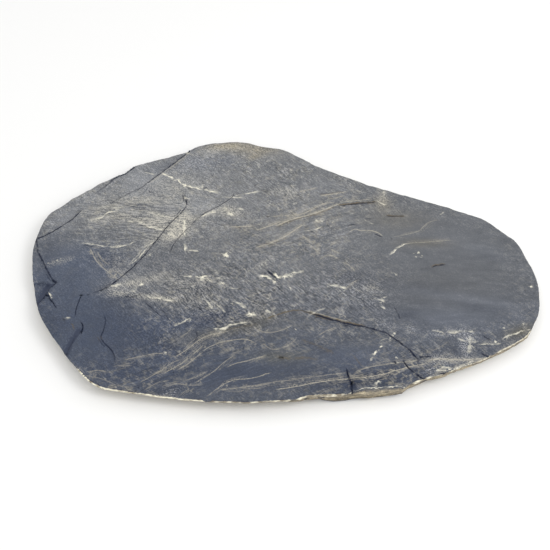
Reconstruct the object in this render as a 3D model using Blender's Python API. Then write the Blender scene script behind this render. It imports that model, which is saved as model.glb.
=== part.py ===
"""A slate slab: one flat piece of split slate, 1.2 m long, lying on its flat underside.

X runs along its length, Y across it and Z up. The origin is at the middle of its box, at the
bottom. The upper face is a riven bedding plane with a few ledges where thin layers have come
away. The edge is a short upright lip over bedding layers that step in towards the underside.
"""

import bmesh
import bpy
import numpy as np
from mathutils import Vector, noise
from mathutils.geometry import delaunay_2d_cdt

# Driving dimensions, in metres.
THICKNESS = 0.036
LIP_HEIGHT = 0.004
LIP_HEIGHT_FRONT = 0.013
UNDERCUT = 0.034
EDGE_SPACING = 0.0135
FACE_SPACING = 0.0215
UNDER_SPACING = 0.055
LEDGE_SPACING = 0.013
LEDGE_SLOPE = 0.0028
EDGE_RAGGED = 0.0013
FACE_WAVE = 0.0013
LEDGE_RAGGED = 0.0018

# The rim of the upper face, counter-clockwise from the nose at the right.
RIM = (
    (0.609, -0.085), (0.600, -0.020), (0.591, 0.025), (0.579, 0.051), (0.560, 0.072),
    (0.541, 0.099), (0.513, 0.122), (0.450, 0.153), (0.350, 0.199), (0.260, 0.238),
    (0.200, 0.269), (0.130, 0.309), (0.060, 0.361), (0.016, 0.393), (-0.010, 0.401),
    (-0.050, 0.410), (-0.075, 0.423), (-0.105, 0.431), (-0.170, 0.426), (-0.218, 0.413),
    (-0.240, 0.399), (-0.258, 0.387), (-0.300, 0.370), (-0.350, 0.349), (-0.404, 0.322),
    (-0.411, 0.312), (-0.422, 0.296), (-0.452, 0.279), (-0.477, 0.258), (-0.520, 0.211),
    (-0.575, 0.156), (-0.590, 0.135), (-0.598, 0.098), (-0.604, 0.050), (-0.603, 0.015),
    (-0.593, -0.040), (-0.578, -0.097), (-0.560, -0.150), (-0.538, -0.199), (-0.500, -0.256),
    (-0.450, -0.319), (-0.407, -0.367), (-0.386, -0.381), (-0.355, -0.392), (-0.280, -0.404),
    (-0.200, -0.416), (-0.120, -0.422), (-0.050, -0.424), (0.035, -0.417), (0.060, -0.409),
    (0.135, -0.404), (0.165, -0.396), (0.200, -0.391), (0.265, -0.381), (0.320, -0.362),
    (0.345, -0.354), (0.400, -0.333), (0.455, -0.308), (0.500, -0.284), (0.547, -0.254),
    (0.569, -0.225), (0.591, -0.185), (0.604, -0.135),
)

# Ledges: the line of the upper edge with the low side on its right, the drop, how far the drop
# reaches, and the lengths over which it fades in at the start and out at the end.
LEDGES = {
    "top_left": {
        "line": (
            (-0.237, 0.418), (-0.250, 0.390), (-0.268, 0.366), (-0.296, 0.329),
            (-0.318, 0.301), (-0.350, 0.260), (-0.368, 0.236), (-0.400, 0.210),
        ),
        "drop": 0.0040, "reach": 0.14, "fade": (0.0, 0.14),
    },
    "rim_notch": {
        "line": (
            (-0.395, 0.330), (-0.416, 0.300), (-0.440, 0.281), (-0.452, 0.260),
            (-0.470, 0.236), (-0.492, 0.205),
        ),
        "drop": 0.0060, "reach": 0.20, "fade": (0.0, 0.10),
    },
    "left_shoulder": {
        "line": (
            (-0.500, 0.166), (-0.511, 0.150), (-0.525, 0.125), (-0.541, 0.106),
            (-0.561, 0.084), (-0.585, 0.063), (-0.625, 0.036),
        ),
        "drop": 0.0036, "reach": 0.16, "fade": (0.06, 0.0),
    },
    "left_flake": {
        "line": (
            (-0.618, 0.080), (-0.601, 0.045), (-0.591, 0.010), (-0.571, -0.025),
            (-0.551, -0.060), (-0.536, -0.083), (-0.526, -0.094), (-0.537, -0.109),
            (-0.543, -0.128), (-0.553, -0.150), (-0.585, -0.190),
        ),
        "drop": 0.0045, "reach": 0.20, "fade": (0.0, 0.0),
    },
    "left_pit": {
        "line": (
            (-0.620, -0.100), (-0.590, -0.094), (-0.560, -0.091), (-0.536, -0.098),
        ),
        "drop": 0.0055, "reach": 0.060, "fade": (0.0, 0.012),
    },
    "long_step": {
        "line": (
            (-0.241, 0.206), (-0.239, 0.183), (-0.243, 0.160), (-0.256, 0.136),
            (-0.275, 0.105), (-0.290, 0.075), (-0.302, 0.048), (-0.316, 0.018),
            (-0.332, -0.014), (-0.352, -0.047), (-0.372, -0.073), (-0.394, -0.100),
            (-0.420, -0.119), (-0.450, -0.133),
        ),
        "drop": 0.0026, "reach": 0.13, "fade": (0.05, 0.08),
    },
    "middle_step": {
        "line": (
            (-0.116, 0.226), (-0.123, 0.203), (-0.141, 0.184), (-0.161, 0.164),
            (-0.183, 0.149), (-0.203, 0.127), (-0.217, 0.105), (-0.232, 0.080),
        ),
        "drop": 0.0018, "reach": 0.07, "fade": (0.03, 0.06),
    },
    "front_step": {
        "line": (
            (0.035, -0.179), (0.062, -0.186), (0.092, -0.197), (0.122, -0.208),
            (0.152, -0.218), (0.182, -0.225), (0.210, -0.233), (0.236, -0.244),
            (0.254, -0.258), (0.276, -0.283), (0.291, -0.305), (0.303, -0.335),
            (0.314, -0.368), (0.322, -0.395),
        ),
        "drop": 0.0022, "reach": 0.16, "fade": (0.10, 0.0),
    },
    "front_short": {
        "line": (
            (0.143, -0.335), (0.146, -0.352), (0.150, -0.375), (0.155, -0.425),
        ),
        "drop": 0.0016, "reach": 0.06, "fade": (0.03, 0.0),
    },
    "left_front": {
        "line": (
            (-0.398, -0.190), (-0.392, -0.212), (-0.393, -0.236), (-0.395, -0.258),
            (-0.384, -0.273), (-0.368, -0.288), (-0.358, -0.308), (-0.352, -0.335),
        ),
        "drop": 0.0014, "reach": 0.08, "fade": (0.03, 0.05),
    },
    "chip_strip": {
        "line": (
            (-0.449, -0.240), (-0.455, -0.262), (-0.461, -0.285), (-0.466, -0.312),
            (-0.476, -0.345),
        ),
        "drop": 0.0035, "reach": 0.016, "fade": (0.03, 0.0),
    },
}

# The same for the underside, where each ledge rises from the flat that the slab lies on.
UNDER_LEDGES = {
    "left_end": {
        "line": (
            (-0.270, 0.420), (-0.310, 0.300), (-0.345, 0.220), (-0.395, 0.130),
            (-0.415, 0.020), (-0.385, -0.080), (-0.390, -0.180), (-0.430, -0.270),
            (-0.500, -0.350),
        ),
        "drop": 0.0048, "reach": 0.30, "fade": (0.0, 0.0),
    },
    "back_right": {
        "line": (
            (0.620, 0.010), (0.520, 0.030), (0.430, 0.015), (0.350, 0.060),
            (0.260, 0.085), (0.190, 0.130), (0.120, 0.190), (0.090, 0.270), (0.050, 0.400),
        ),
        "drop": 0.0036, "reach": 0.20, "fade": (0.0, 0.0),
    },
    "front": {
        "line": (
            (-0.230, -0.440), (-0.185, -0.365), (-0.120, -0.318), (-0.050, -0.305),
            (0.015, -0.322), (0.050, -0.360), (0.075, -0.430),
        ),
        "drop": 0.0030, "reach": 0.09, "fade": (0.0, 0.0),
    },
}

# The bedding layers of the edge under the lip, top to bottom, as shares of the height there.
EDGE_LAYERS = (0.24, 0.16, 0.32, 0.28)


def smoothstep(value):
    clipped = np.clip(value, 0.0, 1.0)
    return clipped * clipped * (3.0 - 2.0 * clipped)


def wave(points, size, seed):
    """Smooth noise from -1 to 1 at each of the (x, y) points."""
    return np.array([noise.noise(Vector((x / size, y / size, seed))) for x, y in points])


def closed_curve(points, spacing):
    """Evenly spaced points on the smooth closed curve through the given ones."""
    given = np.array(points)
    before = np.roll(given, 1, axis=0)
    after = np.roll(given, -1, axis=0)
    beyond = np.roll(given, -2, axis=0)
    steps = np.linspace(0.0, 1.0, 20, endpoint=False)[:, None, None]
    curve = 0.5 * (
        2.0 * given
        + (after - before) * steps
        + (2.0 * before - 5.0 * given + 4.0 * after - beyond) * steps**2
        + (3.0 * given - before - 3.0 * after + beyond) * steps**3
    )
    curve = curve.transpose(1, 0, 2).reshape(-1, 2)
    curve = np.vstack([curve, curve[:1]])
    along = np.append(0.0, np.cumsum(np.linalg.norm(np.diff(curve, axis=0), axis=1)))
    count = int(round(along[-1] / spacing))
    wanted = np.linspace(0.0, along[-1], count, endpoint=False)
    return np.column_stack([np.interp(wanted, along, curve[:, k]) for k in (0, 1)])


def open_curve(points, spacing):
    """Evenly spaced points along an open line."""
    given = np.array(points)
    along = np.append(0.0, np.cumsum(np.linalg.norm(np.diff(given, axis=0), axis=1)))
    wanted = np.linspace(0.0, along[-1], max(int(along[-1] / spacing), 2) + 1)
    return np.column_stack([np.interp(wanted, along, given[:, k]) for k in (0, 1)])


def outward(loop):
    """The outward direction at each point of a counter-clockwise loop."""
    along = np.roll(loop, -1, axis=0) - np.roll(loop, 1, axis=0)
    along /= np.linalg.norm(along, axis=1)[:, None]
    return np.column_stack([along[:, 1], -along[:, 0]])


def blurred(loop, times):
    """The loop with its small turns smoothed away."""
    for _ in range(times):
        loop = 0.25 * np.roll(loop, 1, axis=0) + 0.5 * loop + 0.25 * np.roll(loop, -1, axis=0)
    return loop


def ledge_line(ledge):
    """The ledge's line with the small turns that a break along bedding has."""
    line = open_curve(ledge["line"], LEDGE_SPACING)
    along = np.gradient(line, axis=0)
    along /= np.linalg.norm(along, axis=1)[:, None]
    across = np.column_stack([along[:, 1], -along[:, 0]])
    return line + across * LEDGE_RAGGED * wave(line, 0.03, 6.4)[:, None], across


def nearest(points, line):
    """For each point: the distance to the line, positive on its left, and the length along it."""
    best = np.full(len(points), np.inf)
    signed = np.zeros(len(points))
    where = np.zeros(len(points))
    reached = 0.0
    for start, end in zip(line[:-1], line[1:]):
        step = end - start
        length = np.linalg.norm(step)
        offset = points - start
        share = np.clip(offset @ step / length**2, 0.0, 1.0)
        gap = np.linalg.norm(offset - share[:, None] * step, axis=1)
        left = step[0] * offset[:, 1] - step[1] * offset[:, 0]
        closer = gap < best
        best = np.where(closer, gap, best)
        signed = np.where(closer, np.where(left > 0.0, gap, -gap), signed)
        where = np.where(closer, reached + share * length, where)
        reached += length
    return signed, where, reached


def inside(points, loop):
    """Which points lie inside the loop."""
    within = np.zeros(len(points), bool)
    for (x0, y0), (x1, y1) in zip(loop, np.roll(loop, -1, axis=0)):
        crosses = (y0 > points[:, 1]) != (y1 > points[:, 1])
        if y0 != y1:
            meets = x0 + (points[:, 1] - y0) * (x1 - x0) / (y1 - y0)
            within ^= crosses & (points[:, 0] < meets)
    return within


def clearance(points, loop):
    """The distance from each point to the loop."""
    return np.abs(nearest(points, np.vstack([loop, loop[:1]]))[0])


def ledge_drop(points, ledge):
    """How far this ledge lowers the face at each point."""
    signed, where, length = nearest(points, ledge_line(ledge)[0])
    low_side = -signed
    into, out = ledge["fade"]
    fade = np.ones(len(points))
    if into:
        fade *= smoothstep(where / into)
    if out:
        fade *= smoothstep((length - where) / out)
    reach = np.exp(-np.square(np.maximum(low_side, 0.0) / ledge["reach"]))
    return ledge["drop"] * fade * reach * smoothstep(low_side / LEDGE_SLOPE)


def face_height(points):
    """The height of the upper face."""
    x, y = points.T
    height = np.full(len(points), THICKNESS)
    height += FACE_WAVE * wave(points, 0.21, 3.1)
    height += 0.5 * FACE_WAVE * wave(points, 0.09, 8.7)
    height -= 0.0030 * smoothstep((-x - y - 0.30) / 0.40)
    height -= 0.0022 * smoothstep((x - 0.34) / 0.28)
    height -= 0.0016 * smoothstep((-y - 0.20) / 0.22)
    for ledge in LEDGES.values():
        height -= ledge_drop(points, ledge)
    return height


def scatter(loop, spacing, seed, margin):
    """Points in a loosely even spread inside the loop, kept clear of it."""
    chance = np.random.default_rng(seed)
    low = loop.min(axis=0)
    high = loop.max(axis=0)
    rows = np.arange(low[1], high[1], spacing * 0.866)
    found = []
    for number, row in enumerate(rows):
        first = low[0] + spacing * 0.5 * (number % 2)
        columns = np.arange(first, high[0], spacing)
        found.append(np.column_stack([columns, np.full(len(columns), row)]))
    points = np.vstack(found)
    points += chance.uniform(-0.22, 0.22, points.shape) * spacing
    points = points[inside(points, loop)]
    return points[clearance(points, loop) > margin]


def triangles(loop, lines, loose):
    """The loop filled with triangles whose edges follow the lines. The loop's points come first."""
    coords = [Vector(point) for point in loop]
    edges = []
    for line in lines:
        start = len(coords)
        coords += [Vector(point) for point in line]
        edges += [(start + k, start + k + 1) for k in range(len(line) - 1)]
    coords += [Vector(point) for point in loose]
    face = list(range(len(loop)))
    points, _, faces, sources, _, _ = delaunay_2d_cdt(coords, edges, [face], 1, 1e-6)
    order = [-1] * len(loop)
    for number, source in enumerate(sources):
        for original in source:
            if original < len(loop):
                order[original] = number
    rest = sorted(set(range(len(points))) - set(order))
    renumber = {old: new for new, old in enumerate(order + rest)}
    placed = np.array([points[old] for old in order + rest])
    return placed, [[renumber[corner] for corner in face] for face in faces]


def ledged_face(loop, ledges, spacing, seed):
    """A face inside the loop whose triangles follow the top and the foot of each ledge."""
    lines = []
    for ledge in ledges.values():
        upper, low_side = ledge_line(ledge)
        lower = upper + low_side * LEDGE_SLOPE
        keep = inside(upper, loop) & inside(lower, loop)
        keep &= (clearance(upper, loop) > 0.007) & (clearance(lower, loop) > 0.007)
        lines += [upper[keep], lower[keep]]
    loose = scatter(loop, spacing, seed, 0.55 * EDGE_SPACING)
    for line in lines:
        loose = loose[np.abs(nearest(loose, line)[0]) > 0.35 * spacing]
    return triangles(loop, lines, loose)


def upper_face(rim):
    """The points and triangles of the upper face."""
    flat, faces = ledged_face(rim, LEDGES, FACE_SPACING, 11)
    return np.column_stack([flat, face_height(flat)]), faces


def under_height(points):
    """The height of the underside: nought on the flat, more past each ledge."""
    return sum(ledge_drop(points, ledge) for ledge in UNDER_LEDGES.values())


def lower_face(loop):
    """The points and triangles of the underside."""
    flat, faces = ledged_face(loop, UNDER_LEDGES, UNDER_SPACING, 5)
    return np.column_stack([flat, under_height(flat)]), faces


def layer_insets(rim, front_full, facing_front):
    """How far each bedding layer stands back from the rim. Layers pinch out and swell along it."""
    widths = []
    for number in range(len(EDGE_LAYERS)):
        width = 1.0 + 1.7 * wave(rim, 0.11, 20.0 + 3.0 * number)
        widths.append(np.maximum(width, 0.12))
    shares = np.cumsum(widths, axis=0) / np.sum(widths, axis=0)
    depth = UNDERCUT * (1.0 + 0.25 * wave(rim, 0.16, 1.5)) * (1.0 - 0.93 * front_full)
    steep = smoothstep(0.5 + 2.6 * wave(rim, 0.30, 4.0)) * (1.0 - facing_front)
    return shares * depth * (1.0 - 0.72 * steep)


def edge_rings(rim, rim_height):
    """The loops that run round the edge, from just under the rim to the underside."""
    smooth = blurred(rim, 30)
    normal = outward(smooth)
    x = rim[:, 0]
    facing_front = smoothstep((-normal[:, 1] - 0.05) / 0.30)
    lip = LIP_HEIGHT_FRONT * smoothstep((x + 0.02) / 0.08) * facing_front
    lip = np.maximum(lip, LIP_HEIGHT) * (1.0 + 0.30 * wave(rim, 0.05, 5.5))
    # The front edge keeps its full thickness over a short length.
    full = smoothstep((x - 0.02) / 0.10) * smoothstep((0.290 - x) / 0.025) * facing_front
    start = rim_height - lip
    rings = [
        np.column_stack([rim + normal * 0.0010, rim_height - 0.0012]),
        np.column_stack([rim + normal * 0.0004, start]),
    ]
    level = 1.0
    for inset, layer in zip(layer_insets(rim, full, facing_front), EDGE_LAYERS):
        blend = np.clip(0.3 + inset / UNDERCUT, 0.0, 1.0)[:, None]
        base = rim * (1.0 - blend) + smooth * blend
        for down, back in ((0.012, -0.0012), (layer, 0.0012)):
            line = base - normal * (inset + back)[:, None]
            rings.append(np.column_stack([line, start * (level - down)]))
        level -= layer
    rings[-1][:, 2] = under_height(rings[-1][:, :2])
    return rings


def slab_mesh():
    """Puts the upper face, the edge and the underside together as one closed body."""
    rim = closed_curve(RIM, EDGE_SPACING)
    rim += outward(rim) * EDGE_RAGGED * wave(rim, 0.035, 2.2)[:, None]
    top, top_faces = upper_face(rim)
    count = len(rim)
    rings = edge_rings(rim, top[:count, 2])
    bottom, bottom_faces = lower_face(rings[-1][:, :2])
    mesh = bmesh.new()
    top_points = [mesh.verts.new(point) for point in top]
    for face in top_faces:
        mesh.faces.new([top_points[k] for k in face])
    above = top_points[:count]
    bottom_points = [mesh.verts.new(point) for point in bottom]
    for ring in rings[:-1] + [None]:
        if ring is None:
            below = bottom_points[:count]
        else:
            below = [mesh.verts.new(point) for point in ring]
        for k in range(count):
            after = (k + 1) % count
            mesh.faces.new((above[k], below[k], below[after], above[after]))
        above = below
    for face in bottom_faces:
        mesh.faces.new([bottom_points[k] for k in reversed(face)])
    bmesh.ops.triangulate(mesh, faces=mesh.faces, quad_method="SHORT_EDGE")
    bmesh.ops.recalc_face_normals(mesh, faces=mesh.faces)
    return mesh


def centred(mesh):
    """Moves the mesh so that the origin is at the bottom middle of its box."""
    points = np.array([vertex.co[:] for vertex in mesh.verts])
    middle = (points.min(axis=0) + points.max(axis=0)) / 2.0
    shift = Vector((-middle[0], -middle[1], 0.0))
    bmesh.ops.translate(mesh, verts=mesh.verts, vec=shift)
    print("moved to the middle by", tuple(round(value, 5) for value in shift))


def slate():
    """Split slate: grey with a slight blue, fairly rough."""
    material = bpy.data.materials.new("slate")
    material.use_nodes = True
    shader = material.node_tree.nodes["Principled BSDF"]
    shader.inputs["Base Color"].default_value = (0.105, 0.115, 0.145, 1.0)
    shader.inputs["Roughness"].default_value = 0.62
    shader.inputs["Metallic"].default_value = 0.0
    return material


def main():
    for old in list(bpy.data.objects):
        bpy.data.objects.remove(old)
    mesh = slab_mesh()
    centred(mesh)
    data = bpy.data.meshes.new("slate_slab")
    mesh.to_mesh(data)
    mesh.free()
    data.materials.append(slate())
    slab = bpy.data.objects.new("slate_slab", data)
    bpy.context.scene.collection.objects.link(slab)


main()
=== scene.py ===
"""A riven slate slab with its veins, fold lines, cracks and broken edge, on a pale studio floor."""

import functools
import math
from types import SimpleNamespace

import bmesh
import bpy
import numpy as np
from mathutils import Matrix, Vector, noise
from mathutils.kdtree import KDTree


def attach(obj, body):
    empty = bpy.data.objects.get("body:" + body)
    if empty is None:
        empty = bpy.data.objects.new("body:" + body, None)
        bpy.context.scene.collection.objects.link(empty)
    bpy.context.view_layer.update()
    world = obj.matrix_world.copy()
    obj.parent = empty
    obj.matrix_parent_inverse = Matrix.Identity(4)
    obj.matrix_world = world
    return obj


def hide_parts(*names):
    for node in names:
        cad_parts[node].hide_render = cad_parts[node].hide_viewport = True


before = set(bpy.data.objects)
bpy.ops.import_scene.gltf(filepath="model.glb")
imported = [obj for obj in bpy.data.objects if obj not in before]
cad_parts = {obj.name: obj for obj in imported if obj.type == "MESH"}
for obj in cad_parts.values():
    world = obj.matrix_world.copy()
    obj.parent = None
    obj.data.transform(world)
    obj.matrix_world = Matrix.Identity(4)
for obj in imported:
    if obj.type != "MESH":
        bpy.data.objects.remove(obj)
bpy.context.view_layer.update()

bl_info = {
    "name": "Slate Slab",
    "version": (1, 0, 0),
    "blender": (4, 5, 0),
    "location": "3D View > Sidebar > Slate Slab",
    "description": "Builds a riven slate slab with its veins, cracks and broken edge",
    "category": "Add Mesh",
}

# Lengths are in metres, but for the tables that give other units. Everything on the face is placed
# in plan, from a point that lies this far from the origin.
PLAN_ORIGIN = (-0.00214, -0.00324)
THICKNESS = 0.036

# Slow waves of the face: size, seed and height. Broad falls of the face: direction across the
# plan, where the fall starts that way, its run and its depth.
FACE_WAVES = ((0.21, 3.1, 0.0013), (0.09, 8.7, 0.00065))
FACE_FALLS = (
    ((-1.0, -1.0), 0.30, 0.40, 0.0030),
    ((1.0, 0.0), 0.34, 0.28, 0.0022),
    ((0.0, -1.0), 0.20, 0.22, 0.0016),
)

# Ledges of the upper face, in millimetres: drop, reach of the drop, the lengths over which it
# fades in and out, how dark the painted shadow along the break shows (a share), half the width of
# that dark line, how far that line lies back from the edge, then x and y along the upper edge,
# with the low side on its right.
LEDGES = (
    (4, 140, 0, 80, 0.9, 1.6, 2.2, -237, 418, -250, 390, -268, 366, -296, 329, -318, 301, -350,
     260, -368, 236, -400, 210),
    (6, 200, 0, 80, 0.9, 1.9, 3.4, -395, 330, -416, 300, -440, 281, -452, 260, -470, 236, -492,
     205),
    (3.6, 160, 30, 0, 0.85, 1.5, 2.6, -500, 166, -511, 150, -525, 125, -541, 106, -561, 84, -585,
     63, -625, 36),
    (4.5, 200, 0, 0, 0.95, 1.4, 0.4, -618, 80, -601, 45, -591, 10, -571, -25, -551, -60, -536, -83,
     -526, -94, -537, -109, -543, -128, -553, -150, -585, -190),
    (5.5, 60, 0, 12, 0.4, 0.9, 0, -620, -100, -590, -94, -560, -91, -536, -98),
    (2.6, 130, 20, 50, 0.95, 1.6, 0, -245, 208, -239, 183, -243, 160, -256, 136, -275, 105, -290,
     75, -302, 48, -316, 18, -332, -14, -352, -47, -372, -73, -394, -100, -420, -119, -450, -133),
    (1.8, 70, 20, 50, 0.75, 1.1, 1.2, -116, 226, -123, 203, -141, 184, -161, 164, -183, 149, -203,
     127, -217, 105, -232, 80),
    (2.2, 160, 60, 30, 0.95, 1.3, 0, 35, -179, 62, -186, 92, -197, 122, -208, 152, -218, 182, -225,
     210, -233, 236, -244, 254, -258, 274, -279, 289, -298, 298, -316, 300, -336),
    (1.6, 60, 10, 0, 1, 1.5, 0, 143, -335, 146, -352, 150, -375, 155, -425),
    (1.4, 80, 10, 40, 0.7, 1.1, 0, -398, -190, -392, -212, -393, -236, -395, -258, -384, -273,
     -368, -288, -358, -308, -352, -335),
    (3.5, 16, 30, 0, 0.3, 1, 0, -449, -240, -455, -262, -461, -285, -466, -312, -476, -345),
)
LEDGE_STEP = 0.013 / 3.0
LEDGE_RAGGED = 0.0006
LEDGE_SLOPE = 0.0016
LEDGE_CHATTER = 0.0015
# A lower bed that stands out past the front of the face, in the same form.
SHELF = (
    (4.5, 60, 4, 4, 0, 2, 0, 122, -420, 142, -406, 165, -397, 192, -392.5, 222, -390, 250, -389,
     270, -394, 284, -404),
)
# How far it stands out, where along the front it starts and ends with the run of each end, the
# depth of the strip that it takes from the front, and how far up it is full.
SHELF_OUT = 0.0085
SHELF_SPAN = ((0.140, 0.050), (0.278, 0.014))
SHELF_STRIP = (-0.365, 0.020)
SHELF_FULL = 0.010
SHELF_LIP = 0.002
SHELF_END = 0.003

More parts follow.
